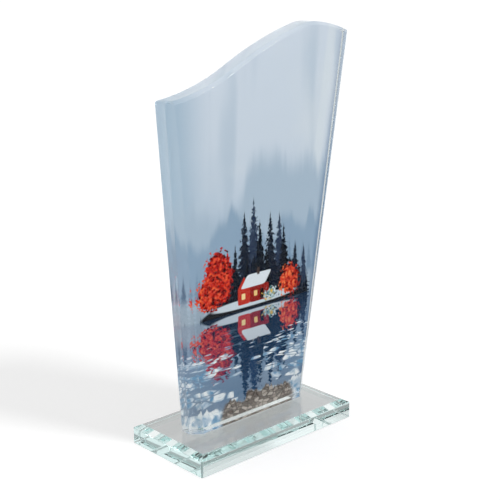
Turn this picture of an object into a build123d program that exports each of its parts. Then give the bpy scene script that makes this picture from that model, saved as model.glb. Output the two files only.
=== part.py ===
"""Curved glass photo frame: an upright plate of bevelled glass on a flat glass base.

The upright plate carries a picture on its rear face, and its foot is bonded to the base.
Millimetres. The origin is the centre of the base's underside, X runs to the viewer's right,
Y to the rear and Z up.
"""
from build123d import *
import math
import os

# base plate: outside size, the wide bevel round its top, and its small ground edges
base_length = 100.0
base_depth = 52.0
base_thickness = 10.0
base_bevel_run = 3.5
base_bevel_drop = 1.86
base_corner_arris = 0.8
base_bottom_arris = 0.4

# upright plate: thickness, foot, height of its left edge and the splay of both sides
plaque_thickness = 10.0
foot_length = 75.6
foot_right_shift = 0.15
plaque_forward_shift = 1.5
left_edge_height = 159.3
left_splay = 4.12
right_splay = 8.68

# top edge, from the left: a hollow, a long rise, a short crest and a fall to the right side,
# each with its radius and its run along X
top_start_slope = 6.5
hollow_run = 40.0
hollow_radius = 112.0
rise_run = 43.1
rise_radius = 195.0
crest_run = 8.3
crest_radius = 25.3
fall_radius = 74.7
left_corner_radius = 1.2
right_corner_radius = 2.5

# ground faces of the upright plate: wide side bevels that narrow upwards, a small top bevel
side_bevel_foot_width = 5.45
side_bevel_top_width = 3.35
side_bevel_angle = 37.7
top_bevel = 1.5
rear_arris = 0.5

# bond, picture and backing, all thin films
bond_thickness = 0.1
bond_depth = 5.9
bond_side_margin = 0.6
print_thickness = 0.1
backing_thickness = 0.15

# one overrun for every cutting solid
cut_overrun = 5.0

plaque_rear = plaque_thickness / 2 - plaque_forward_shift
plaque_front = plaque_rear - plaque_thickness
foot_left = foot_right_shift - foot_length / 2
foot_right = foot_right_shift + foot_length / 2
foot_level = base_thickness + bond_thickness


def left_edge_at(height):
    """X of the left side at a height above the foot."""
    return foot_left - height * math.tan(math.radians(left_splay))


def right_edge_at(height):
    """X of the right side at a height above the foot."""
    return foot_right + height * math.tan(math.radians(right_splay))


def bend(start, heading, run, radius, turn):
    """Arc that leaves start along heading and covers a run in X; turn is 1 upwards, -1 downwards."""
    slope = math.asin(heading.Y)
    end_slope = math.asin(heading.Y + turn * run / radius)
    return JernArc(start, heading, radius, math.degrees(end_slope - slope))


def top_curve():
    """The four tangent arcs of the top edge, in the plate's own plane (X, height)."""
    start = Vector(left_edge_at(left_edge_height), left_edge_height)
    heading = Vector(1, 0).rotate(Axis.Z, top_start_slope)
    hollow = bend(start, heading, hollow_run, hollow_radius, 1)
    rise = bend(hollow @ 1, hollow % 1, rise_run, rise_radius, -1)
    crest = bend(rise @ 1, rise % 1, crest_run, crest_radius, -1)
    crest_end = crest @ 1
    fall_run = right_edge_at(crest_end.Y) + cut_overrun - crest_end.X
    fall = bend(crest_end, crest % 1, fall_run, fall_radius, -1)
    return [hollow, rise, crest, fall]


def plaque_height():
    """Height of the crest above the foot."""
    return max(arc.bounding_box().max.Y for arc in top_curve())


def upright(face):
    """Stands a face drawn in X and height on the foot level, at the plate's rear face."""
    return Plane(origin=(0, plaque_rear, foot_level), x_dir=(1, 0, 0), z_dir=(0, -1, 0)) * face


def waste_above_curve():
    """The face that is cut away above the top curve."""
    arcs = top_curve()
    first = arcs[0] @ 0
    last = arcs[-1] @ 1
    ceiling = plaque_height() + cut_overrun
    side = first.X - cut_overrun
    rim = Polyline(first, (side, first.Y), (side, ceiling), (last.X, ceiling), last)
    return make_face([*arcs, rim])


def blank_outline():
    """Front view of the plate before its corners are rounded."""
    height = plaque_height() + cut_overrun
    sheet = Polygon(
        (foot_left, 0),
        (foot_right, 0),
        (right_edge_at(height), height),
        (left_edge_at(height), height),
        align=None,
    )
    return sheet - waste_above_curve()


def rounded_outline():
    """Front view of the plate with both upper corners rounded."""
    outline = blank_outline()
    left_corner = outline.vertices().sort_by(Axis.X)[0]
    outline = fillet(left_corner, left_corner_radius)
    right_corner = outline.vertices().sort_by(Axis.X)[-1]
    return fillet(right_corner, right_corner_radius)


def side_bevel_section(height, side):
    """Triangle that a side bevel cuts away at a height; side is -1 on the left, 1 on the right."""
    edge = right_edge_at(height) if side > 0 else left_edge_at(height)
    narrowing = (side_bevel_foot_width - side_bevel_top_width) / left_edge_height
    width = side_bevel_foot_width - narrowing * height
    depth = width * math.tan(math.radians(side_bevel_angle))
    inner = (edge - 2 * side * width, plaque_front - depth)
    outer = (edge + side * width, plaque_front + 2 * depth)
    corner = (edge + side * width, plaque_front - depth)
    level = foot_level + height
    return make_face(Polyline(*[(x, y, level) for x, y in (inner, outer, corner)], close=True))


def side_bevel_waste(side):
    """Solid that a side bevel takes off, from below the foot to above the top."""
    heights = (-cut_overrun, plaque_height() + cut_overrun)
    return loft([side_bevel_section(height, side) for height in heights], ruled=True)


def build_plaque_glass():
    """Upright plate: S-curved top, wide side bevels, small top bevel and rear arrises."""
    plate = extrude(upright(blank_outline()), plaque_thickness)
    front = plate.faces().sort_by(Axis.Y)[0]
    plate = chamfer(front.edges().filter_by(GeomType.CIRCLE), top_bevel)
    plate -= side_bevel_waste(-1)
    plate -= side_bevel_waste(1)
    plate &= extrude(upright(rounded_outline()), plaque_thickness)
    rear = plate.faces().sort_by(Axis.Y)[-1]
    foot_edge = rear.edges().sort_by(Axis.Z)[0]
    rim = [edge for edge in rear.edges() if edge != foot_edge]
    return chamfer(rim, rear_arris)


def build_base_glass():
    """Flat base: wide bevel round the top, ground corners and a fine arris underneath."""
    slab = extrude(Rectangle(base_length, base_depth), base_thickness)
    top = slab.faces().sort_by(Axis.Z)[-1]
    slab = chamfer(top.edges(), base_bevel_run, base_bevel_drop, reference=top)
    plan = chamfer(Rectangle(base_length, base_depth).vertices(), base_corner_arris)
    slab &= extrude(plan, base_thickness)
    underside = slab.faces().sort_by(Axis.Z)[0]
    return chamfer(underside.edges(), base_bottom_arris)


def build_bond_film():
    """Clear adhesive under the rear part of the foot; the front part stays an air gap."""
    length = foot_length - 2 * bond_side_margin
    film = extrude(Rectangle(length, bond_depth), bond_thickness)
    return Pos(foot_right_shift, plaque_rear - bond_depth / 2, base_thickness) * film


def build_picture_print(plaque):
    """Picture layer on the whole flat of the plate's rear face."""
    rear = plaque.faces().sort_by(Axis.Y)[-1]
    return extrude(rear, print_thickness, dir=(0, 1, 0))


def build_white_backing(picture):
    """White coat behind the picture."""
    rear = picture.faces().sort_by(Axis.Y)[-1]
    return extrude(rear, backing_thickness, dir=(0, 1, 0))


base_glass = build_base_glass()
bond_film = build_bond_film()
plaque_glass = build_plaque_glass()
picture_print = build_picture_print(plaque_glass)
white_backing = build_white_backing(picture_print)

parts = {
    "base_glass": base_glass,
    "bond_film": bond_film,
    "plaque_glass": plaque_glass,
    "picture_print": picture_print,
    "white_backing": white_backing,
}

os.makedirs("parts", exist_ok=True)
for name, shape in parts.items():
    export_step(shape, f"parts/{name}.step")
    size = shape.bounding_box().size
    print(f"{name}: {shape.volume:.1f} mm3, {size.X:.2f} x {size.Y:.2f} x {size.Z:.2f} mm")
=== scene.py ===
"""Looks of a curved glass photo frame: an upright bevelled glass plate on a bevelled glass base.

Metres, in the frame's own axes: the origin is the centre of the base's underside, X runs to the
viewer's right, Y to the rear and Z up.
"""
from functools import partial
import math

import bpy
from mathutils import Matrix, Vector


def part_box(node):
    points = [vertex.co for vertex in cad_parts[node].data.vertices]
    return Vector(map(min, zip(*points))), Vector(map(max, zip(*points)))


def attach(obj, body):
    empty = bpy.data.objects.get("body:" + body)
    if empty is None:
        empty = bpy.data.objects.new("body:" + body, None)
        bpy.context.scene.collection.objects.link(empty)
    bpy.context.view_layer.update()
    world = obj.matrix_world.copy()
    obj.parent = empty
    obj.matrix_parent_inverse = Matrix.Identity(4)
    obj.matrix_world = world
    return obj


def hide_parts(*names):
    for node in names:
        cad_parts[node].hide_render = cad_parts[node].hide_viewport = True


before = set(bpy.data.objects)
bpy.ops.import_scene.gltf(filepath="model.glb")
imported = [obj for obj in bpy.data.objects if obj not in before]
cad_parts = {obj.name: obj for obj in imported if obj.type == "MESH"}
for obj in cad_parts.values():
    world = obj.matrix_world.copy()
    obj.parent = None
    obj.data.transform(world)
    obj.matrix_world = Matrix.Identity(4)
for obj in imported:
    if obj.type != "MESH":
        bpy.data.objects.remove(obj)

bl_info = {
    "name": "Curved glass photo frame",
    "version": (1, 0, 0),
    "blender": (4, 5, 0),
    "location": "3D View > Sidebar > Glass Frame",
    "description": "Bevelled glass plate with a picture behind it, bonded to a glass base",
    "category": "Object",
}

MM = 0.001
BODY = "root"
WHITE = (1.0, 1.0, 1.0, 1.0)

# Face attributes that the glass reads
CONTACT = "contact"
GROUND = "ground"
SHADE = "shade"

# Part of a face's normal along an axis above which it is square to it, sloped, or diagonal to two of them
SQUARE = 0.99
SLOPED = 0.3
DIAGONAL = 0.6

# Angles under which faces shade as one, and over which an edge is rounded
SHADES_AS_ONE = math.radians(12)
ROUNDED_OVER = math.radians(20)

# Glass: optics, shares and surface waves. Density and shares were tuned to the photo, not measured.
GLASS_IOR = 1.52
GLASS_DENSITY = 6.5
WETTED_SHARE = 0.82
SATIN_ROUGHNESS = 0.4
SATIN_SHARE = 0.5
OPEN_LIGHT_SHARE = 0.97
RESTING_LIGHT_SHARE = 0.29
RIPPLE_LENGTH = 9 * MM
BASE_RIPPLE = 0.01 * MM
PLATE_RIPPLE = 0.004 * MM
# Grey tones of the satin arrises: painted shade over their ground finish
BASE_SATIN_SHADE = "#CADEDC"
PLATE_SATIN_SHADE = "#8A9598"
BASE_EDGE_SHARE = 1.0
BASE_CORNER_SHARE = 0.8
PLATE_EDGE_SHARE = 0.6

# Foot of the upright plate: bare glass beside the bond, and the bond's satin ends in widths of the side bevel
FOOT_MARGIN = 0.6 * MM
FOOT_END_WIDTHS = 1.6

# Keeps the ink's face and the glass's out of one plane
FILM_GAP = 0.01 * MM

# Stage
LIGHT_BOUNCES = 24
FLOOR_SIZE = 14
FLOOR_GAP = 0.1 * MM
FLOOR_LIFT = 0.26
ROOM_STRENGTH = 0.69
KEY_AZIMUTH = math.radians(25)
KEY_ELEVATION = math.radians(42)
KEY_WIDTH = math.radians(16)
KEY_ENERGY = 1.18
CLOTH_SIZE = 6
CLOTH_PLACE = (0.5, -3.03, 0.5 * MM)
CLOTH_TONE = (0.01, 0.01, 0.01)

# Camera, fitted to the photograph; the focal length is in pixels of its 500
CAMERA_PLACE = Vector((-344.47, -376.66, 236.98)) * MM
CAMERA_HEADING = math.radians(42.786)
CAMERA_TILT = math.radians(15.699)
CAMERA_ROLL = math.radians(-0.159)
FOCAL_PIXELS = 1106.83
PICTURE_PIXELS = 500
SENSOR_WIDTH = 36
CLIP_NEAR, CLIP_FAR = 0.01, 30

# Node kinds used most, and the setting of a range with soft ends
MATH = "ShaderNodeMath"
RANGE = "ShaderNodeMapRange"
MIX = "ShaderNodeMixRGB"
NOISE = "ShaderNodeTexNoise"
SMOOTH = {"interpolation_type": "SMOOTHSTEP"}


def linear(code):
    """Linear RGB of an sRGB hex colour."""
    shares = [int(code[i:i + 2], 16) / 255 for i in (1, 3, 5)]
    return tuple(s / 12.92 if s <= 0.04045 else ((s + 0.055) / 1.055) ** 2.4 for s in shares)


def opaque(colour):
    """A colour with full alpha, as a colour socket takes it."""
    return (*colour, 1.0)


def add(tree, kind, inputs=(), **settings):
    """Adds a node with its settings; an input is a value, a hex colour, a socket or a node's first output."""
    made = tree.nodes.new(kind)
    for name, value in settings.items():
        setattr(made, name, value)
    pairs = inputs.items() if isinstance(inputs, dict) else enumerate(inputs)
    for key, value in pairs:
        if isinstance(value, str):
            value = opaque(linear(value))
        if isinstance(value, bpy.types.Node):
            value = value.outputs[0]
        if isinstance(value, bpy.types.NodeSocket):
            tree.links.new(value, made.inputs[key])
        elif value is not None:
            made.inputs[key].default_value = value
    return made


def empty_tree(holder):
    """Empties the nodes of a new material or world, and gives the function that adds nodes there."""
    holder.use_nodes = True
    holder.node_tree.nodes.clear()
    return partial(add, holder.node_tree)


def new_material(name):
    """A material without nodes, and the function that adds nodes to it."""
    made = bpy.data.materials.new(name)
    return made, empty_tree(made)


class GlassFrameSizes(bpy.types.PropertyGroup):
    """Sizes of the two glass plates that the frame's boxes don't give."""

    base_bevel_run: bpy.props.FloatProperty(
        name="Base bevel run", description="Width of the bevel round the base's top, seen from above",
        default=3.5 * MM, unit="LENGTH")
    base_bevel_drop: bpy.props.FloatProperty(
        name="Base bevel drop", description="How far that bevel falls", default=1.86 * MM, unit="LENGTH")
    base_corner_arris: bpy.props.FloatProperty(
        name="Base corner arris", description="Ground flat on the base's upright corners",
        default=0.8 * MM, unit="LENGTH")
    base_bottom_arris: bpy.props.FloatProperty(
        name="Base bottom arris", description="Ground edge under the base", default=0.4 * MM, unit="LENGTH")
    left_edge_height: bpy.props.FloatProperty(
        name="Left edge height", description="Height of the plate's left side above its foot",
        default=159.3 * MM, unit="LENGTH")
    left_splay: bpy.props.FloatProperty(
        name="Left splay", description="Lean of the left side", default=math.radians(4.12), unit="ROTATION")
    right_splay: bpy.props.FloatProperty(
        name="Right splay", description="Lean of the right side", default=math.radians(8.68), unit="ROTATION")
    top_start_slope: bpy.props.FloatProperty(
        name="Top start slope", description="Slope of the top edge where it leaves the left side",
        default=math.radians(6.5), unit="ROTATION")
    hollow_run: bpy.props.FloatProperty(
        name="Hollow run", description="Run of the hollow part of the top edge",
        default=40.0 * MM, unit="LENGTH")
    hollow_radius: bpy.props.FloatProperty(
        name="Hollow radius", description="Radius of the hollow part", default=112.0 * MM, unit="LENGTH")
    rise_run: bpy.props.FloatProperty(
        name="Rise run", description="Run of the long rise of the top edge", default=43.1 * MM, unit="LENGTH")
    rise_radius: bpy.props.FloatProperty(
        name="Rise radius", description="Radius of the long rise", default=195.0 * MM, unit="LENGTH")
    crest_run: bpy.props.FloatProperty(
        name="Crest run", description="Run of the short crest", default=8.3 * MM, unit="LENGTH")
    crest_radius: bpy.props.FloatProperty(
        name="Crest radius", description="Radius of the crest", default=25.3 * MM, unit="LENGTH")
    fall_radius: bpy.props.FloatProperty(
        name="Fall radius", description="Radius of the fall to the right side",
        default=74.7 * MM, unit="LENGTH")
    left_corner_radius: bpy.props.FloatProperty(
        name="Left corner radius", description="Rounding of the upper left corner",
        default=1.2 * MM, unit="LENGTH")
    right_corner_radius: bpy.props.FloatProperty(
        name="Right corner radius", description="Rounding of the upper right corner",
        default=2.5 * MM, unit="LENGTH")
    side_bevel_foot_width: bpy.props.FloatProperty(
        name="Side bevel at the foot", description="Width of the side bevels on the front face, at the foot",
        default=5.45 * MM, unit="LENGTH")
    side_bevel_top_width: bpy.props.FloatProperty(
        name="Side bevel at the top", description="The same at the left edge's height",
        default=3.35 * MM, unit="LENGTH")
    side_bevel_angle: bpy.props.FloatProperty(
        name="Side bevel angle", description="Angle of the side bevels to the front face",
        default=math.radians(37.7), unit="ROTATION")
    top_bevel: bpy.props.FloatProperty(
        name="Top bevel", description="Small bevel along the curved edge", default=1.5 * MM, unit="LENGTH")
    rear_arris: bpy.props.FloatProperty(
        name="Rear arris", description="Ground edge round the rear face", default=0.5 * MM, unit="LENGTH")
    edge_round: bpy.props.FloatProperty(
        name="Edge rounding", description="What polishing takes off each sharp edge",
        default=0.12 * MM, unit="LENGTH")


class GlassFrameColours(bpy.types.PropertyGroup):
    """Colours of the glass, the picture, the coat behind it and the floor."""

    glass_tint: bpy.props.FloatVectorProperty(
        name="Glass tint", description="Colour that long paths through the glass take",
        default=linear("#BEE6E4"), subtype="COLOR", size=3, min=0, max=1)
    coat: bpy.props.FloatVectorProperty(
        name="Coat", description="White coat behind the picture",
        default=linear("#EDEDEB"), subtype="COLOR", size=3, min=0, max=1)
    floor: bpy.props.FloatVectorProperty(
        name="Floor", description="Pale floor",
        default=linear("#EFEFEF"), subtype="COLOR", size=3, min=0, max=1)


def sizes():
    return bpy.context.scene.glass_frame_sizes


def colours():
    return bpy.context.scene.glass_frame_colours


def mode(kind):
    bpy.ops.object.mode_set(mode=kind)


def select_all():
    bpy.ops.mesh.select_all(action="SELECT")


def extrude(x, y, z):
    """In edit mode, extrudes what is selected."""
    bpy.ops.mesh.extrude_region_move(TRANSFORM_OT_translate={"value": (x, y, z)})


def start_piece(primitive, name, **how):
    """Adds a primitive as a new piece, alone selected and in edit mode."""
    if bpy.context.object and bpy.context.object.mode != "OBJECT":
        mode("OBJECT")
    bpy.ops.object.select_all(action="DESELECT")
    primitive(**how)
    piece = bpy.context.object
    piece.name = piece.data.name = name
    bpy.ops.object.transform_apply(location=True, rotation=True, scale=True)
    mode("EDIT")
    bpy.ops.mesh.select_mode(type="VERT")
    select_all()
    return piece


def select(piece, kind, test):
    """In edit mode, selects the faces or edges of a piece that pass a test."""
    bpy.ops.mesh.select_mode(type=kind)
    bpy.ops.mesh.select_all(action="DESELECT")
    mode("OBJECT")
    mesh = piece.data
    for part in mesh.polygons if kind == "FACE" else mesh.edges:
        part.select = test(part, mesh)
    mode("EDIT")


def near(a, b, room=0.01 * MM):
    return abs(a - b) < room


def ends(edge, mesh):
    """Both end points of an edge."""
    return [mesh.vertices[i].co for i in edge.vertices]


def cut(point, normal, **how):
    """Cuts what is selected with a plane."""
    bpy.ops.mesh.bisect(plane_co=point, plane_no=normal, **how)


def finish_piece(piece, slot, material, *nodes):
    """Puts the finished piece on the frame's body, with its finish and the nodes it stands for; the slot is
    not used.
    """
    piece.data.materials.clear()
    piece.data.materials.append(material)
    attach(piece, BODY)
    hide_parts(*nodes)


def polish(piece):
    """Outward normals, softly rounded edges, and flat faces that stay flat."""
    select_all()
    bpy.ops.mesh.remove_doubles(threshold=0.001 * MM)
    bpy.ops.mesh.normals_make_consistent(inside=False)
    mode("OBJECT")
    bpy.ops.object.shade_smooth_by_angle(angle=SHADES_AS_ONE)
    rounding = piece.modifiers.new("rounding", "BEVEL")
    rounding.width = sizes().edge_round
    rounding.segments = 2
    rounding.limit_method = "ANGLE"
    rounding.angle_limit = ROUNDED_OVER
    rounding.harden_normals = True
    rounding.miter_outer = "MITER_ARC"
    bpy.ops.object.modifier_apply(modifier=rounding.name)


def mark(piece, name, test):
    """Marks the faces that pass a test, for the glass material to read."""
    marks = piece.data.attributes.new(name, "FLOAT", "FACE")
    for face in piece.data.polygons:
        marks.data[face.index].value = float(test(face))


def float_glass(name, ripple, one_way, satin_shade_tone):
    """Float glass, ground and polished: clear face on, aqua along its length.

    Faces marked contact touch the print or the adhesive and have no surface to the eye from outside.
    Faces marked ground are satin arrises with a grey tone, which is painted shade. Faces marked shade rest on
    the floor and take light from it.
    """
    made, node = new_material(name)
    contact, ground, shade = (node("ShaderNodeAttribute", attribute_name=name).outputs["Fac"]
                              for name in (CONTACT, GROUND, SHADE))
    side = node("ShaderNodeNewGeometry")
    wetted = node(MATH, (contact, WETTED_SHARE), operation="MULTIPLY")
    inside_share = node(MATH, (side.outputs["Backfacing"], one_way), operation="MULTIPLY")
    from_outside = node(MATH, (1.0, inside_share), operation="SUBTRACT")
    open_way = node(MATH, (wetted, from_outside), operation="MULTIPLY")
    alpha = node(MATH, (1.0, open_way), operation="SUBTRACT")
    path = node("ShaderNodeLightPath")
    light = node(MATH, (path.outputs["Is Shadow Ray"], path.outputs["Is Diffuse Ray"]), operation="MAXIMUM")
    satin = node(MATH, (ground, SATIN_ROUGHNESS), operation="MULTIPLY")
    clear = node(MATH, (ground, -SATIN_SHARE, 1.0), operation="MULTIPLY_ADD")
    # Painted shade: ground faces are toned grey
    tone = node(MIX, (ground, WHITE, satin_shade_tone))
    place = node("ShaderNodeTexCoord").outputs["Object"]
    waves = node(NOISE, {"Vector": place, "Scale": 1 / RIPPLE_LENGTH, "Detail": 0.0})
    wavy = node("ShaderNodeBump", {"Strength": 1.0, "Distance": ripple, "Height": waves})
    surface = node("ShaderNodeBsdfPrincipled", {
        "Normal": wavy, "Base Color": tone, "Roughness": satin, "IOR": GLASS_IOR,
        "Transmission Weight": clear, "Alpha": alpha})
    for socket, plain in (("Base Color", WHITE), ("Roughness", 0.0), ("Transmission Weight", 1.0)):
        surface.inputs[socket].default_value = plain
    inside = node("ShaderNodeVolumeAbsorption", {
        "Color": opaque(colours().glass_tint), "Density": GLASS_DENSITY})
    share = node(RANGE, {"Value": shade, "To Min": OPEN_LIGHT_SHARE, "To Max": RESTING_LIGHT_SHARE})
    passed = node("ShaderNodeBsdfTransparent", {"Color": share})
    both = node("ShaderNodeMixShader", (light, surface, passed))
    node("ShaderNodeOutputMaterial", {"Surface": both, "Volume": inside})
    return made


class GLASSFRAME_OT_base(bpy.types.Operator):
    """Glass base: a slab with a wide shallow bevel round its top and ground edges"""

    bl_idname = "glassframe.base"
    bl_label = "Glass base"

    def execute(self, context):
        s = sizes()
        low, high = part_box("base_glass")
        bond_low, bond_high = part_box("bond_film")
        rim = high.z - s.base_bevel_drop
        centre = ((low.x + high.x) / 2, (low.y + high.y) / 2, (low.z + rim) / 2)
        piece = start_piece(bpy.ops.mesh.primitive_cube_add, "base_slab", size=1, location=centre,
                            scale=(high.x - low.x, high.y - low.y, rim - low.z))
        select(piece, "FACE", lambda face, mesh: face.normal.z > SQUARE)
        bpy.ops.mesh.inset(thickness=s.base_bevel_run, depth=s.base_bevel_drop)
        for x in (low.x, high.x):
            for y in (low.y, high.y):
                outward = Vector((math.copysign(1, x), math.copysign(1, y), 0)).normalized()
                point = Vector((x - math.copysign(s.base_corner_arris, x), y, 0))
                select_all()
                cut(point, outward, clear_outer=True, use_fill=True)
        select(piece, "EDGE", lambda edge, mesh: all(near(p.z, low.z) for p in ends(edge, mesh)))
        bpy.ops.mesh.bevel(offset=s.base_bottom_arris, segments=1)
        for point, normal in (
                ((bond_low.x, 0, 0), (1, 0, 0)), ((bond_high.x, 0, 0), (1, 0, 0)),
                ((0, bond_low.y, 0), (0, 1, 0)), ((0, bond_high.y, 0), (0, 1, 0))):
            select(piece, "FACE", lambda face, mesh: face.normal.z > SQUARE)
            cut(point, normal)
        polish(piece)

        def bonded(face):
            c = face.center
            inside = bond_low.x < c.x < bond_high.x and bond_low.y < c.y < bond_high.y
            return face.normal.z > SQUARE and inside

        mark(piece, CONTACT, bonded)
        mark(piece, GROUND, lambda face: self.ground_share(face.normal))
        mark(piece, SHADE, lambda face: face.normal.z < -SQUARE)
        glass = float_glass("float_glass_base", BASE_RIPPLE, 1.0, BASE_SATIN_SHADE)
        finish_piece(piece, "base_glass", glass, "base_glass")
        return {"FINISHED"}

    def ground_share(self, normal):
        """How matt a face is: the edge under the base fully, its upright corners a little."""
        if -SQUARE < normal.z < -SLOPED:
            return BASE_EDGE_SHARE
        return BASE_CORNER_SHARE if min(abs(normal.x), abs(normal.y)) > DIAGONAL else 0.0


def arc_centre(point, heading, radius, turn):
    """Centre of an arc that leaves a point along a heading; turn is 1 to the left, -1 to the right."""
    return point + turn * radius * Vector((-math.sin(heading), math.cos(heading)))


def meet(point, along, centre, radius):
    """The nearer of the two points at a distance from a centre, on a line through a point."""
    along = along.normalized()
    offset = point - centre
    half = offset.dot(along)
    reach = math.sqrt(half * half - offset.length_squared + radius * radius)
    return min((point + along * (-half + sign * reach) for sign in (-1, 1)), key=lambda p: (p - point).length)


def angle_of(v):
    return math.atan2(v.y, v.x)


def top_arcs(foot_left, foot_right):
    """Where the left side ends, and the arcs of the top edge as (centre, start heading, end heading)."""
    s = sizes()
    left_up = Vector((-math.sin(s.left_splay), math.cos(s.left_splay)))
    right_up = Vector((math.sin(s.right_splay), math.cos(s.right_splay)))
    corner = Vector((foot_left, 0)) + left_up * s.left_edge_height / math.cos(s.left_splay)
    point, heading = corner, s.top_start_slope
    big = []
    for run, radius, turn in ((s.hollow_run, s.hollow_radius, 1), (s.rise_run, s.rise_radius, -1),
                              (s.crest_run, s.crest_radius, -1), (0, s.fall_radius, -1)):
        centre = arc_centre(point, heading, radius, turn)
        end = math.asin(math.sin(heading) + turn * run / radius)
        big.append([centre, heading, end])
        point = centre - turn * radius * Vector((-math.sin(end), math.cos(end)))
        heading = end
    inward = Vector((left_up.y, -left_up.x))
    small = s.left_corner_radius
    left = meet(corner + inward * small, left_up, big[0][0], s.hollow_radius + small)
    big[0][1] = angle_of(left - big[0][0]) + math.pi / 2
    start = left - inward * small
    inward = Vector((-right_up.y, right_up.x))
    small = s.right_corner_radius
    middle = big[-1][0]
    reach = Vector((foot_right, 0)) + right_up * (middle.y + s.fall_radius) / math.cos(s.right_splay)
    right = meet(reach + inward * small, right_up, middle, s.fall_radius - small)
    big[-1][2] = angle_of(right - middle) - math.pi / 2
    arcs = [(left, math.pi / 2 + s.left_splay, big[0][1]), *big,
            (right, big[-1][2], -math.pi / 2 - s.right_splay)]
    return start, arcs


class GLASSFRAME_OT_plate(bpy.types.Operator):
    """Upright glass plate: S-curved top, wide side bevels, small top bevel, rear arris"""

    bl_idname = "glassframe.plate"
    bl_label = "Upright glass plate"

    arc_step: bpy.props.FloatProperty(
        name="Arc step", description="Largest turn between two points of the top edge",
        default=math.radians(1.0), unit="ROTATION")
    corner_steps: bpy.props.IntProperty(
        name="Corner steps", description="Steps round each rounded corner", default=14)

    def execute(self, context):
        s = sizes()
        low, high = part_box("plaque_glass")
        bond_low, bond_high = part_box("bond_film")
        foot, rear, front = low.z, high.y, low.y
        foot_left, foot_right = bond_low.x - FOOT_MARGIN, bond_high.x + FOOT_MARGIN
        start, arcs = top_arcs(foot_left, foot_right)
        piece = start_piece(bpy.ops.mesh.primitive_plane_add, "upright_plate", size=MM,
                            location=(foot_left, rear, foot))
        bpy.ops.mesh.merge(type="CENTER")
        extrude(start.x - foot_left, 0, start.y)
        for index, (centre, begin, end) in enumerate(arcs):
            corner = index in (0, len(arcs) - 1)
            steps = self.corner_steps if corner else math.ceil(abs(end - begin) / self.arc_step)
            bpy.ops.mesh.spin(steps=steps, angle=end - begin, center=(centre.x, rear, foot + centre.y),
                              axis=(0, 1, 0))
        mode("OBJECT")
        last = next(v.co.copy() for v in piece.data.vertices if v.select)
        mode("EDIT")
        extrude(foot_right - last.x, 0, foot - last.z)
        select_all()
        bpy.ops.mesh.edge_face_add()
        extrude(0, front - rear, 0)
        select_all()
        bpy.ops.mesh.normals_make_consistent(inside=False)
        first_x = start.x + 1.2 * s.left_corner_radius
        longest_step = 5 * MM

        def on_front_curve(edge, mesh):
            a, b = ends(edge, mesh)
            side = math.hypot(b.x - a.x, b.z - a.z) > longest_step
            return near(a.y, front) and near(b.y, front) and not side and min(a.x, b.x) > first_x

        select(piece, "EDGE", on_front_curve)
        bpy.ops.mesh.bevel(offset=s.top_bevel, segments=1, clamp_overlap=False)
        self.side_bevel(-1, foot_left, foot, front)
        self.side_bevel(1, foot_right, foot, front)
        select(piece, "EDGE", lambda edge, mesh: all(near(p.y, rear) for p in ends(edge, mesh))
               and not all(near(p.z, foot) for p in ends(edge, mesh)))
        bpy.ops.mesh.bevel(offset=s.rear_arris, segments=1)
        room = FOOT_END_WIDTHS * s.side_bevel_foot_width
        for point, normal in (((bond_low.x, 0, 0), (1, 0, 0)), ((bond_high.x, 0, 0), (1, 0, 0)),
                              ((bond_low.x + room, 0, 0), (1, 0, 0)), ((bond_high.x - room, 0, 0), (1, 0, 0)),
                              ((0, bond_low.y, 0), (0, 1, 0))):
            select(piece, "FACE", lambda face, mesh: face.normal.z < -SQUARE)
            cut(point, normal)
        polish(piece)

        def padded(face, room):
            c = face.center
            over_bond = bond_low.x + room < c.x < bond_high.x - room and c.y > bond_low.y
            return face.normal.z < -SQUARE and over_bond

        def touching(face):
            return padded(face, room) or (face.normal.y > SQUARE and near(face.center.y, rear))

        def ground(face):
            bare_end = padded(face, 0) and not touching(face)
            return PLATE_EDGE_SHARE * (SLOPED < face.normal.y < SQUARE or bare_end)

        mark(piece, CONTACT, touching)
        mark(piece, GROUND, ground)
        mark(piece, SHADE, lambda face: False)
        glass = float_glass("float_glass_plate", PLATE_RIPPLE, 0.0, PLATE_SATIN_SHADE)
        finish_piece(piece, "plaque_glass", glass, "plaque_glass")
        return {"FINISHED"}

    def side_bevel(self, side, edge, foot, front):
        """Cuts one side bevel, which narrows upwards; side is -1 on the left, 1 on the right."""
        s = sizes()
        lean = math.tan(s.right_splay if side > 0 else s.left_splay) * side
        narrowing = (s.side_bevel_foot_width - s.side_bevel_top_width) / s.left_edge_height
        inner = Vector((edge - side * s.side_bevel_foot_width, front, foot))
        up = Vector((lean + side * narrowing, 0, 1))
        across = Vector((side * math.cos(s.side_bevel_angle), math.sin(s.side_bevel_angle), 0))
        outward = up.cross(across) * side
        if outward.x * side < 0:
            outward.negate()
        select_all()
        cut(inner, outward.normalized(), clear_outer=True, use_fill=True)


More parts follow.
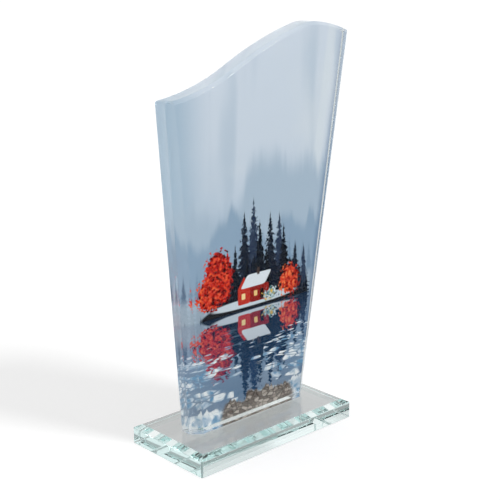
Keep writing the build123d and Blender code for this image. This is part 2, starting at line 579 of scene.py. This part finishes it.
class GLASSFRAME_OT_picture(bpy.types.Operator):
    """Ink film on the plate's rear face, and the white coat behind it"""

    bl_idname = "glassframe.picture"
    bl_label = "Picture and coat"

    def execute(self, context):
        plate = bpy.data.objects["upright_plate"]
        print_low, print_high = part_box("picture_print")
        coat_low, coat_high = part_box("white_backing")
        film = self.sheet(plate, "picture_film", print_low.y + FILM_GAP, print_high.y)
        finish_piece(film, "picture_print", ink_film(), "picture_print")
        coat = self.sheet(plate, "white_coat", coat_low.y, coat_high.y)
        finish_piece(coat, "white_backing", white_coat(), "white_backing")
        return {"FINISHED"}

    def sheet(self, plate, name, front, rear):
        """A sheet of the plate's rear outline between two depths."""
        bpy.ops.object.select_all(action="DESELECT")
        plate.select_set(True)
        bpy.context.view_layer.objects.active = plate
        bpy.ops.object.duplicate()
        piece = bpy.context.object
        piece.name = piece.data.name = name
        piece.parent = None
        for key in list(piece.keys()):
            del piece[key]
        level = max(v.co.y for v in piece.data.vertices)
        mode("EDIT")
        select(piece, "FACE", lambda face, mesh: not (face.normal.y > SQUARE and near(face.center.y, level)))
        bpy.ops.mesh.delete(type="FACE")
        select_all()
        bpy.ops.mesh.customdata_custom_splitnormals_clear()
        bpy.ops.transform.translate(value=(0, front - level, 0))
        extrude(0, rear - front, 0)
        select_all()
        bpy.ops.mesh.normals_make_consistent(inside=False)
        mode("OBJECT")
        bpy.ops.object.shade_flat()
        for name in (CONTACT, GROUND, SHADE):
            piece.data.attributes.remove(piece.data.attributes[name])
        return piece


# Picture, in millimetres across and above the base's underside
WATER_LINE = 64.0
RIGHT_EDGE_START = -36.4
BLACK = "#000000"

# Rows of firs: spacing, shift, height, centre, reach, softness, needles, frost, tiers
FAR_WOOD = (4.6, 0.4, 32.0, 12.0, 150.0, 0.8, BLACK, BLACK)
SIDE_WOOD = (6.1, 1.3, 27.0, -52.0, 100.0, 0.4, BLACK, BLACK)
PALE_FIRS = (17.0, 3.0, 66.0, 13.0, 46.0, 0.3, "#2A3750", "#8FA4BC", 12)
DARK_FIRS = (
    (17.0, 9.0, 64.0, 10.0, 44.0, 0.25, "#151C2C", "#7489A3", 12),
    (16.0, 14.5, 57.0, 10.0, 42.0, 0.2, "#0E131E", "#566A84", 11),
    (13.0, 5.5, 40.0, 14.0, 36.0, 0.2, "#080B12", "#46566C", 8),
)

# Leafy crowns: centre, half size, leaf, tones from dark to light
AUTUMN_CROWNS = (
    ((-17.0, WATER_LINE + 19), (9.0, 13.5), 1.2, "#3C080C", "#A01818", "#DC3024", "#F05A34"),
    ((-23.0, WATER_LINE + 12), (8.0, 8.0), 1.1, "#3C080C", "#B01C18", "#E23A28", "#F4683C"),
    ((30.0, WATER_LINE + 9), (6.5, 8.0), 1.1, "#4A0C0E", "#B4201A", "#EA4A2E", "#F6804C"),
)
GARDEN = ((16.5, WATER_LINE + 4.6), (5.0, 2.9), 0.9, "#1E4E63", "#E8EDF0", "#2C8C9A", "#F0C24A")

# Windows, door and chimney: to the right of the gable, above the floor, half size, colour
CABIN_FITTINGS = (
    (-0.4, 3.6, (1.2, 1.5), "#FFE0A0"),
    (7.6, 3.8, (1.1, 1.4), "#F4CD86"),
    (11.8, 2.8, (1.2, 2.7), "#241416"),
    (9.4, 14.8, (0.9, 1.8), "#4A3B38"),
)


def ridge(node, x, z, level, swing, wave, softness):
    """Everything below a hill line, from its mean level, its swing and the length of its waves."""
    line = node(NOISE, {"W": x, "Scale": 1 / wave, "Detail": 5.0, "Roughness": 0.6}, noise_dimensions="1D")
    top = node(RANGE, {
        "Value": line, "From Min": 0.25, "From Max": 0.75, "To Min": level - swing, "To Max": level + swing})
    above = node(MATH, (z, top), operation="SUBTRACT")
    return node(RANGE, {"Value": above, "From Min": softness, "From Max": -softness}, **SMOOTH)


def fir_row(node, x, z, rough, spacing, shift, height, centre, reach, softness, dark, frost,
            tiers=9, girth=0.19):
    """A row of firs on the water line, tallest at its centre: mask and colour, frosted on the branch tips."""
    across = node(MATH, (x, shift), operation="ADD")
    cell = node(MATH, (across, spacing), operation="DIVIDE")
    column = node(MATH, (cell,), operation="FLOOR")
    within = node(MATH, (cell,), operation="FRACT")
    chance = node("ShaderNodeTexWhiteNoise", {"W": column}, noise_dimensions="1D")
    trunk = node(MATH, (column, spacing, spacing / 2 - shift - centre), operation="MULTIPLY_ADD")
    away = node(MATH, (trunk,), operation="ABSOLUTE")
    tallest = node(RANGE, {
        "Value": away, "From Max": reach, "To Min": height, "To Max": height * 0.02}, **SMOOTH)
    luck = node(RANGE, {"Value": chance, "To Min": 0.72, "To Max": 1.0})
    tall = node(MATH, (tallest, luck), operation="MULTIPLY")
    above = node(MATH, (z, WATER_LINE), operation="SUBTRACT")
    rise = node(MATH, (above, tall), operation="DIVIDE")
    branches = node(MATH, (rise, tiers, chance), operation="MULTIPLY_ADD")
    branch = node(MATH, (branches,), operation="FRACT")
    width = node(MATH, (branch, -0.42, 1.0), operation="MULTIPLY_ADD")
    taper = node(MATH, (rise, -girth, girth), operation="MULTIPLY_ADD")
    girths = node(MATH, (taper, width), operation="MULTIPLY")
    half = node(MATH, (girths, tall), operation="MULTIPLY")
    offset = node(MATH, (within, spacing, -spacing / 2), operation="MULTIPLY_ADD")
    side = node(MATH, (offset,), operation="ABSOLUTE")
    inside = node(MATH, (half, side), operation="SUBTRACT")
    needle = node(MATH, (half, spacing * 0.09), operation="MINIMUM")
    length = node(MATH, (needle, 0.0), operation="MAXIMUM")
    ragged = node(MATH, (rough, length, inside), operation="MULTIPLY_ADD")
    mask = node(RANGE, {"Value": ragged, "From Min": -softness, "From Max": softness}, **SMOOTH)
    tip = node(RANGE, {"Value": branch, "From Max": 0.4, "To Min": 0.75, "To Max": -0.1})
    dusted = node(MATH, (tip, rough), operation="MULTIPLY", use_clamp=True)
    colour = node(MIX, (dusted, dark, frost))
    return mask, colour


def patch(node, place, centre, half, softness, power=2.0):
    """A rounded patch round a centre: an ellipse at power 2, nearly a rectangle at higher powers."""
    moved = node("ShaderNodeVectorMath", (place, (-centre[0], 0, -centre[1])), operation="ADD")
    scaled = node("ShaderNodeVectorMath", (moved, (1 / half[0], 0, 1 / half[1])), operation="MULTIPLY")
    even = node("ShaderNodeVectorMath", (scaled,), operation="ABSOLUTE")
    parts = node("ShaderNodeSeparateXYZ", (even,))
    wide = node(MATH, (parts.outputs["X"], power), operation="POWER")
    high = node(MATH, (parts.outputs["Z"], power), operation="POWER")
    reach = node(MATH, (wide, high), operation="ADD")
    edge = softness / min(half) * power / 2
    return node(RANGE, {"Value": reach, "From Min": 1 + edge, "From Max": 1 - edge}, **SMOOTH)


def gable(node, x, z, centre, eaves, rise, half, softness):
    """The triangle under a gable."""
    offset = node(MATH, (x, centre), operation="SUBTRACT")
    side = node(MATH, (offset,), operation="ABSOLUTE")
    line = node(MATH, (side, -rise / half, eaves + rise), operation="MULTIPLY_ADD")
    under = node(MATH, (line, z), operation="SUBTRACT")
    over = node(MATH, (z, eaves), operation="SUBTRACT")
    both = node(MATH, (under, over), operation="MINIMUM")
    return node(RANGE, {"Value": both, "From Min": -softness, "From Max": softness})


def cabin(node, x, z, place):
    """A small timber cabin, its gable end to the left, snow on its roof: masks and colours."""
    floor, eaves, top, left = WATER_LINE + 3.0, WATER_LINE + 10.5, WATER_LINE + 17.0, -1.0
    planks = node(MATH, (x, 7.5), operation="MULTIPLY")
    grooves = node(MATH, (planks,), operation="SINE")
    lit = node(RANGE, {"Value": grooves, "From Min": -1.0, "To Min": 0.25, "To Max": 0.0})
    front = node(MIX, (lit, "#D03A2C", "#7A1A18"))
    shade = node(MIX, (lit, "#9C221E", "#521214"))
    slope = (top - eaves) / 4.6
    lean = node(MATH, (z, -1 / slope, eaves / slope), operation="MULTIPLY_ADD")
    level = node(MATH, (x, lean), operation="ADD")
    sheared = node("ShaderNodeCombineXYZ", (level, 0.0, z))
    middle = (floor + eaves) / 2
    half = (eaves - floor) / 2 + 0.4
    return [
        (patch(node, place, (left + 10.0, middle), (6.4, half), 0.2, 9.0), shade),
        (patch(node, place, (left, middle), (4.0, half), 0.2, 9.0), front),
        (gable(node, x, z, left, eaves, top - eaves - 0.6, 4.2, 0.2), front),
        (patch(node, sheared, (left + 6.0 - 0.3, (eaves + top) / 2), (8.0, (top - eaves) / 2), 0.25, 9.0),
         "#E7ECF3"),
        *((patch(node, place, (left + across, floor + up), half_size, 0.2, 8.0), colour)
          for across, up, half_size, colour in CABIN_FITTINGS),
    ]


def crown(node, place, centre, half, leaf, *tones):
    """A leafy crown with a ragged edge: mask, and a colour that changes from leaf to leaf."""
    leaves = node("ShaderNodeTexVoronoi", {"Vector": place, "Scale": 1 / leaf})
    rags = node("ShaderNodeVectorMath", (leaves.outputs["Color"], (0.5, 0.5, 0.5)), operation="SUBTRACT")
    spread = node("ShaderNodeVectorMath", {0: rags, "Scale": leaf * 3.4}, operation="SCALE")
    ragged = node("ShaderNodeVectorMath", (place, spread), operation="ADD")
    mask = patch(node, ragged, centre, half, leaf * 0.35)
    shades = node("ShaderNodeSeparateColor", (leaves.outputs["Color"],))
    clumps = node(NOISE, {"Vector": place, "Scale": 1 / (leaf * 3.5), "Detail": 2.0})
    mixed = node(MATH, (clumps, 1.6, -0.8), operation="MULTIPLY_ADD")
    picked = node(MATH, (shades.outputs["Red"], mixed), operation="ADD", use_clamp=True)
    ramp = node("ShaderNodeValToRGB", (picked,))
    for step, tone in enumerate(tones):
        stop = ramp.color_ramp.elements[step] if step < 2 else ramp.color_ramp.elements.new(1.0)
        stop.color = opaque(linear(tone))
    for step, stop in enumerate(ramp.color_ramp.elements):
        stop.position = step / (len(tones) - 1)
    return mask, ramp


def floes(node, x, depth):
    """Ice floes that grow towards the near shore, thickest to both sides: how much ice there is."""
    wide = node(MATH, (depth, 0.24), operation="MULTIPLY")
    across = node(MATH, (x, wide), operation="DIVIDE")
    away = node(MATH, (520.0, depth), operation="DIVIDE")
    plan = node("ShaderNodeCombineXYZ", (across, away, 0.0))
    cells = node("ShaderNodeTexVoronoi", {"Vector": plan, "Scale": 1.0})
    cracks = node("ShaderNodeTexVoronoi", {"Vector": plan, "Scale": 1.0}, feature="DISTANCE_TO_EDGE")
    chance = node("ShaderNodeSeparateColor", (cells.outputs["Color"],))
    gap = node(MATH, (x, 4.0), operation="SUBTRACT")
    aside = node(MATH, (gap,), operation="ABSOLUTE")
    lanes = node(RANGE, {
        "Value": aside, "From Min": 6.0, "From Max": 26.0, "To Min": 0.1, "To Max": 0.8})
    nearer = node(RANGE, {"Value": depth, "From Min": 14.0, "From Max": 30.0})
    share = node(MATH, (lanes, nearer), operation="MULTIPLY")
    kept = node(MATH, (chance.outputs["Red"], share), operation="LESS_THAN")
    firm = node(RANGE, {"Value": cracks, "From Min": 0.03, "From Max": 0.12})
    return node(MATH, (kept, firm), operation="MULTIPLY")


def pebbles(node, flat):
    """Wet brown-grey pebbles, each a shade of its own with a dark gap round it."""
    laid = node("ShaderNodeMapping", {"Vector": flat, "Scale": (1 / 2.9, 0, 1 / 1.7)})
    stones = node("ShaderNodeTexVoronoi", {"Vector": laid, "Scale": 1.0})
    gaps = node("ShaderNodeTexVoronoi", {"Vector": laid, "Scale": 1.0}, feature="DISTANCE_TO_EDGE")
    chance = node("ShaderNodeSeparateColor", (stones.outputs["Color"],))
    tone = node(MIX, (chance.outputs["Green"], "#6B5D56", "#C4B8AF"))
    edge = node(RANGE, {"Value": gaps, "From Max": 0.16, "To Min": 0.85, "To Max": 0.0})
    return node(MIX, (edge, tone, "#3A3330"))


def painted(node, layers, ground):
    """Layers laid over a ground, each a mask and a colour or hex code."""
    picture = ground
    for mask, colour in layers:
        picture = node(MIX, (mask, picture, colour))
    return picture


def lake_picture(node):
    """A misty lake: pale hills, an islet with firs, a cabin and autumn trees, ice and pebbles."""
    place = node("ShaderNodeTexCoord").outputs["Object"]
    flat = node("ShaderNodeMapping", {"Vector": place, "Scale": (1000, 0, 1000)})
    parts = node("ShaderNodeSeparateXYZ", (flat,))
    x, z = parts.outputs["X"], parts.outputs["Z"]

    below = node(MATH, (WATER_LINE, z), operation="SUBTRACT")
    depth = node(MATH, (below, 0.0), operation="MAXIMUM")
    streaks = node("ShaderNodeMapping", {"Vector": flat, "Scale": (1 / 16, 0, 1 / 1.3)})
    wave = node(NOISE, {"Vector": streaks, "Scale": 1.0, "Detail": 2.0})
    reach = node(RANGE, {"Value": depth, "From Max": 46.0, "To Max": 10.0})
    sway = node(MATH, (wave, 0.5), operation="SUBTRACT")
    swing = node(MATH, (sway, reach), operation="MULTIPLY")
    seen_x = node(MATH, (x, swing), operation="ADD")
    mirrored = node(MATH, (depth, 2.0, z), operation="MULTIPLY_ADD")
    seen_z = node(MATH, (mirrored, swing), operation="ADD")
    seen = node("ShaderNodeCombineXYZ", (seen_x, 0.0, seen_z))
    needles = node(NOISE, {"Vector": seen, "Scale": 1 / 1.5, "Detail": 2.0, "Roughness": 0.7})
    rough = node(RANGE, {
        "Value": needles, "From Min": 0.3, "From Max": 0.7, "To Min": -1.0, "To Max": 1.0})

    height = node(RANGE, {"Value": seen_z, "From Min": WATER_LINE, "From Max": 200.0})
    sky = node("ShaderNodeValToRGB", (height,))
    stops = sky.color_ramp.elements
    stops[0].position, stops[0].color = 0.0, opaque(linear("#B2C5DA"))
    stops[1].position, stops[1].color = 1.0, opaque(linear("#DCE4F1"))
    haze = stops.new(0.6)
    haze.color = opaque(linear("#D8E0ED"))
    drawn_up = node("ShaderNodeMapping", {"Vector": seen, "Scale": (1 / 13, 0, 1 / 95)})
    veils = node(NOISE, {"Vector": drawn_up, "Scale": 1.0, "Detail": 1.0, "Distortion": 0.4})
    blur = node(RANGE, {"Value": veils, "From Min": 0.5, "From Max": 0.72, "To Max": 0.34}, **SMOOTH)
    clouds = node(NOISE, {"Vector": seen, "Scale": 1 / 60, "Detail": 3.0, "Distortion": 0.6})
    banks = node(RANGE, {"Value": clouds, "From Min": 0.5, "From Max": 0.72, "To Max": 0.5}, **SMOOTH)
    # Painted shade along the right edge and a painted bright band inside it, as the bevel casts them
    edge_line = node(MATH, (z, -math.tan(sizes().right_splay), RIGHT_EDGE_START), operation="MULTIPLY_ADD")
    inward = node(MATH, (x, edge_line), operation="ADD")
    right_edge = node(RANGE, {"Value": inward, "From Min": -4.5, "From Max": 0.0}, **SMOOTH)
    # The painted shade is stronger lower down
    lower = node(RANGE, {
        "Value": z, "From Min": 105.0, "From Max": 175.0, "To Min": 0.95, "To Max": 0.45})
    right_shade = node(MATH, (right_edge, lower), operation="MULTIPLY")
    painted_light_band = patch(node, node("ShaderNodeCombineXYZ", (inward, 0.0, 0.0)), (-8.0, 0.0), (3.0, 3.0), 2.5)
    painted_light_band_share = node(MATH, (painted_light_band, 0.6), operation="MULTIPLY")
    left_dusk = node(RANGE, {"Value": seen_x, "From Min": -18.0, "From Max": -46.0}, **SMOOTH)
    dusk_share = node(MATH, (left_dusk, 0.66), operation="MULTIPLY")

    far_hill = ridge(node, seen_x, seen_z, 126.0, 24.0, 55.0, 8.0)
    shifted = node(MATH, (seen_x, 300.0), operation="ADD")
    near_hill = ridge(node, shifted, seen_z, 103.0, 16.0, 38.0, 4.0)
    far_wood, _ = fir_row(node, seen_x, seen_z, rough, *FAR_WOOD)
    side_wood, _ = fir_row(node, seen_x, seen_z, rough, *SIDE_WOOD)
    thicket = ridge(node, z=seen_z, x=node(MATH, (seen_x, 90.0), operation="ADD"),
                    level=WATER_LINE + 17, swing=9.0, wave=7.0, softness=0.5)
    islet = patch(node, seen, (9.0, WATER_LINE), (30.0, 36.0), 2.0)
    thicket = node(MATH, (thicket, islet), operation="MULTIPLY")
    mist = patch(node, seen, (0.0, WATER_LINE + 3), (300.0, 8.0), 6.0)
    mist_share = node(MATH, (mist, 0.5), operation="MULTIPLY")
    bank = patch(node, seen, (5.0, WATER_LINE - 1.5), (34.0, 7.0), 0.5, 2.4)
    snow_bank = patch(node, seen, (6.0, WATER_LINE + 3.2), (27.0, 2.2), 0.5, 2.4)

    layers = [
        # Among these, a painted bright band inside the right edge
        (blur, "#9FB6CB"), (banks, "#E3E8EF"), (dusk_share, "#8FB0C8"), (painted_light_band_share, "#E6ECF3"),
        (far_hill, "#B3C4D6"),
        (near_hill, "#97AEC6"), (far_wood, "#8099B3"), (side_wood, "#5A7490"), (mist_share, "#CBD7E3"),
        # Painted shade along the right edge
        (right_shade, "#7B93B0"),
        fir_row(node, seen_x, seen_z, rough, *PALE_FIRS),
        (thicket, "#151B29"),
        *(fir_row(node, seen_x, seen_z, rough, *row) for row in DARK_FIRS),
        (bank, "#1A1A20"), (snow_bank, "#D3DCE6"),
        *(crown(node, seen, *one) for one in AUTUMN_CROWNS),
        *cabin(node, seen_x, seen_z, seen),
        crown(node, seen, *GARDEN),
    ]
    scene = painted(node, layers, sky)

    under = node(RANGE, {"Value": depth, "From Max": 0.5})
    murk = node(RANGE, {"Value": depth, "From Max": 50.0, "To Min": 0.2, "To Max": 0.55})
    murk_share = node(MATH, (murk, under), operation="MULTIPLY")
    glints = node(RANGE, {"Value": wave, "From Min": 0.6, "From Max": 0.75, "To Max": 0.3}, **SMOOTH)
    glint_share = node(MATH, (glints, under), operation="MULTIPLY")
    line = ridge(node, x, z, 17.0, 7.0, 22.0, 0.5)
    rubble = node(NOISE, {"Vector": flat, "Scale": 1 / 6, "Detail": 4.0, "Distortion": 0.8})
    packed = node(RANGE, {"Value": rubble, "From Min": 0.38, "From Max": 0.6})
    drift = node(MIX, (packed, "#6F9CC0", "#F4F7FA"))
    stones = pebbles(node, flat)
    beach = ridge(node, x, z, 19.0, 5.0, 9.0, 0.8)
    middle = patch(node, flat, (8.0, 8.0), (25.0, 20.0), 2.5)
    shallow = node(MATH, (beach, middle), operation="MULTIPLY")
    return painted(node, [
        (murk_share, "#24507C"), (glint_share, "#8FB4D0"), (floes(node, x, depth), drift),
        (line, drift), (shallow, stones)], scene)


# Grain of the ink and of the coat. Ink dots and orange peel are drawn coarser than real ones, to show at all.
INK_DOT = 0.5 * MM
PEEL_GRAIN = 0.9 * MM
PEEL_HEIGHT = 0.02 * MM
COAT_CLOUD = 22 * MM
THIN_COAT_SHARE = 0.93


def ink_film():
    """Ink film printed on the glass: matt where it leaves the glass, so only the glass over it shines."""
    made, node = new_material("ink_film")
    place = node("ShaderNodeTexCoord").outputs["Object"]
    dots = node(NOISE, {"Vector": place, "Scale": 1 / INK_DOT, "Detail": 1.0})
    grain = node(RANGE, {"Value": dots, "From Min": 0.3, "From Max": 0.7, "To Min": 0.955, "To Max": 1.0})
    inked = node(MIX, (1.0, lake_picture(node), grain), blend_type="MULTIPLY")
    surface = node("ShaderNodeBsdfPrincipled", {
        "Base Color": inked, "Roughness": 0.6, "Specular IOR Level": 0.0})
    node("ShaderNodeOutputMaterial", {"Surface": surface})
    return made


def white_coat():
    """White coat sprayed on the ink: a fine orange peel, a little uneven in tone and in sheen."""
    made, node = new_material("white_coat")
    place = node("ShaderNodeTexCoord").outputs["Object"]
    peel = node(NOISE, {"Vector": place, "Scale": 1 / PEEL_GRAIN, "Detail": 2.0})
    cloud = node(NOISE, {"Vector": place, "Scale": 1 / COAT_CLOUD, "Detail": 3.0})
    thin = [share * THIN_COAT_SHARE for share in colours().coat]
    tone = node(MIX, (cloud, opaque(thin), opaque(colours().coat)))
    sheen = node(RANGE, {"Value": cloud, "From Min": 0.3, "From Max": 0.7, "To Min": 0.38, "To Max": 0.52})
    relief = node("ShaderNodeBump", {"Strength": 0.6, "Distance": PEEL_HEIGHT, "Height": peel})
    surface = node("ShaderNodeBsdfPrincipled", {"Base Color": tone, "Roughness": sheen, "Normal": relief})
    node("ShaderNodeOutputMaterial", {"Surface": surface})
    return made


class GLASSFRAME_OT_bond(bpy.types.Operator):
    """Clear cured adhesive under the rear part of the plate's foot"""

    bl_idname = "glassframe.bond"
    bl_label = "Adhesive film"

    corner_radius: bpy.props.FloatProperty(
        name="Corner radius", description="Rounding of the film's corners", default=0.5 * MM, unit="LENGTH")

    def execute(self, context):
        low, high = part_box("bond_film")
        piece = start_piece(bpy.ops.mesh.primitive_cube_add, "adhesive_film", size=1,
                            location=(low + high) / 2, scale=high - low)
        select(piece, "EDGE", lambda edge, mesh: not near(*(end.z for end in ends(edge, mesh))))
        bpy.ops.mesh.bevel(offset=self.corner_radius, segments=5)
        select_all()
        bpy.ops.mesh.normals_make_consistent(inside=False)
        mode("OBJECT")
        # Light-cured acrylic, as clear as the glass that it wets, so no film shows: it bends no light here
        made, node = new_material("cured_adhesive")
        surface = node("ShaderNodeBsdfPrincipled", {
            "Base Color": WHITE, "Roughness": 0.0, "IOR": 1.0, "Transmission Weight": 1.0})
        node("ShaderNodeOutputMaterial", {"Surface": surface})
        finish_piece(piece, "bond_film", made, "bond_film")
        return {"FINISHED"}


class GLASSFRAME_OT_stage(bpy.types.Operator):
    """Pale floor, white surroundings, one soft key light and the camera"""

    bl_idname = "glassframe.stage"
    bl_label = "Stage, lights and camera"

    def execute(self, context):
        self.floor()
        self.world()
        self.key()
        self.flag()
        self.camera()
        bpy.context.scene.view_settings.view_transform = "Standard"
        paths = bpy.context.scene.cycles
        paths.max_bounces = paths.glossy_bounces = paths.transmission_bounces = LIGHT_BOUNCES
        return {"FINISHED"}

    def seen(self, node):
        """1 for what the eye sees, straight on, reflected or through glass."""
        path = node("ShaderNodeLightPath")
        either = node(MATH, (path.outputs["Is Camera Ray"], path.outputs["Is Glossy Ray"]),
                      operation="MAXIMUM")
        return node(MATH, (either, path.outputs["Is Transmission Ray"]), operation="MAXIMUM")

    def floor(self):
        low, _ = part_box("base_glass")
        piece = start_piece(bpy.ops.mesh.primitive_plane_add, "floor", size=FLOOR_SIZE,
                            location=(0, 0, low.z - FLOOR_GAP))
        mode("OBJECT")
        made, node = new_material("pale_floor")
        paint = node("ShaderNodeBsdfDiffuse", {"Color": opaque(colours().floor)})
        lift = node(MATH, (self.seen(node), FLOOR_LIFT), operation="MULTIPLY")
        glow = node("ShaderNodeEmission", {"Strength": lift})
        lifted = node("ShaderNodeAddShader", (paint, glow))
        node("ShaderNodeOutputMaterial", {"Surface": lifted})
        piece.data.materials.append(made)

    def world(self):
        made = bpy.data.worlds.new("studio")
        bpy.context.scene.world = made
        node = empty_tree(made)
        white = node("ShaderNodeBackground", {"Color": WHITE, "Strength": 1.0})
        room = node("ShaderNodeBackground", {"Color": WHITE, "Strength": ROOM_STRENGTH})
        mixed = node("ShaderNodeMixShader", (self.seen(node), room, white))
        node("ShaderNodeOutputWorld", {"Surface": mixed})

    def key(self):
        """One soft key light from the front right."""
        lamp = bpy.data.lights.new("key", "SUN")
        lamp.energy = KEY_ENERGY
        lamp.angle = KEY_WIDTH
        holder = bpy.data.objects.new("key", lamp)
        bpy.context.scene.collection.objects.link(holder)
        flat = Vector((math.sin(KEY_AZIMUTH), -math.cos(KEY_AZIMUTH), 0)) * math.cos(KEY_ELEVATION)
        back = flat + Vector((0, 0, math.sin(KEY_ELEVATION)))
        holder.rotation_euler = back.to_track_quat("Z", "Y").to_euler()

    def flag(self):
        """Black cloth on the floor in front, which the glass mirrors, so the picture keeps its depth."""
        piece = start_piece(bpy.ops.mesh.primitive_plane_add, "black_cloth", size=CLOTH_SIZE,
                            location=CLOTH_PLACE)
        mode("OBJECT")
        made, node = new_material("black_velvet")
        cloth = node("ShaderNodeBsdfDiffuse", {"Color": opaque(CLOTH_TONE)})
        node("ShaderNodeOutputMaterial", {"Surface": cloth})
        piece.data.materials.append(made)
        piece.visible_camera = piece.visible_diffuse = False
        piece.visible_transmission = piece.visible_shadow = False

    def camera(self):
        lens = bpy.data.cameras.new("camera")
        lens.sensor_width = SENSOR_WIDTH
        lens.lens = SENSOR_WIDTH * FOCAL_PIXELS / PICTURE_PIXELS
        lens.clip_start = CLIP_NEAR
        lens.clip_end = CLIP_FAR
        holder = bpy.data.objects.new("camera", lens)
        bpy.context.scene.collection.objects.link(holder)
        turn = Matrix.Rotation(-CAMERA_HEADING, 4, "Z") @ Matrix.Rotation(math.pi / 2 - CAMERA_TILT, 4, "X")
        turn = turn @ Matrix.Rotation(CAMERA_ROLL, 4, "Z")
        holder.matrix_world = Matrix.Translation(CAMERA_PLACE) @ turn
        bpy.context.scene.camera = holder


class GLASSFRAME_PT_panel(bpy.types.Panel):
    """Lists the pieces of the frame in the 3D view's sidebar"""

    bl_idname = "GLASSFRAME_PT_panel"
    bl_label = "Curved glass photo frame"
    bl_space_type = "VIEW_3D"
    bl_region_type = "UI"
    bl_category = "Glass Frame"

    def draw(self, context):
        for group in (context.scene.glass_frame_sizes, context.scene.glass_frame_colours):
            for name in group.bl_rna.properties.keys():
                if name not in ("rna_type", "name"):
                    self.layout.prop(group, name)
        for operator in OPERATORS:
            self.layout.operator(operator.bl_idname)


GROUPS = (GlassFrameSizes, GlassFrameColours)
OPERATORS = (GLASSFRAME_OT_base, GLASSFRAME_OT_plate, GLASSFRAME_OT_picture, GLASSFRAME_OT_bond,
             GLASSFRAME_OT_stage)


def register():
    for kind in (*GROUPS, *OPERATORS, GLASSFRAME_PT_panel):
        bpy.utils.register_class(kind)
    bpy.types.Scene.glass_frame_sizes = bpy.props.PointerProperty(type=GlassFrameSizes)
    bpy.types.Scene.glass_frame_colours = bpy.props.PointerProperty(type=GlassFrameColours)


def unregister():
    del bpy.types.Scene.glass_frame_colours
    del bpy.types.Scene.glass_frame_sizes
    for kind in reversed((*GROUPS, *OPERATORS, GLASSFRAME_PT_panel)):
        bpy.utils.unregister_class(kind)


def main():
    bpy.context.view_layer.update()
    register()
    bpy.ops.glassframe.base()
    bpy.ops.glassframe.plate()
    bpy.ops.glassframe.picture()
    bpy.ops.glassframe.bond()
    bpy.ops.glassframe.stage()


if __name__ == "__main__":
    main()
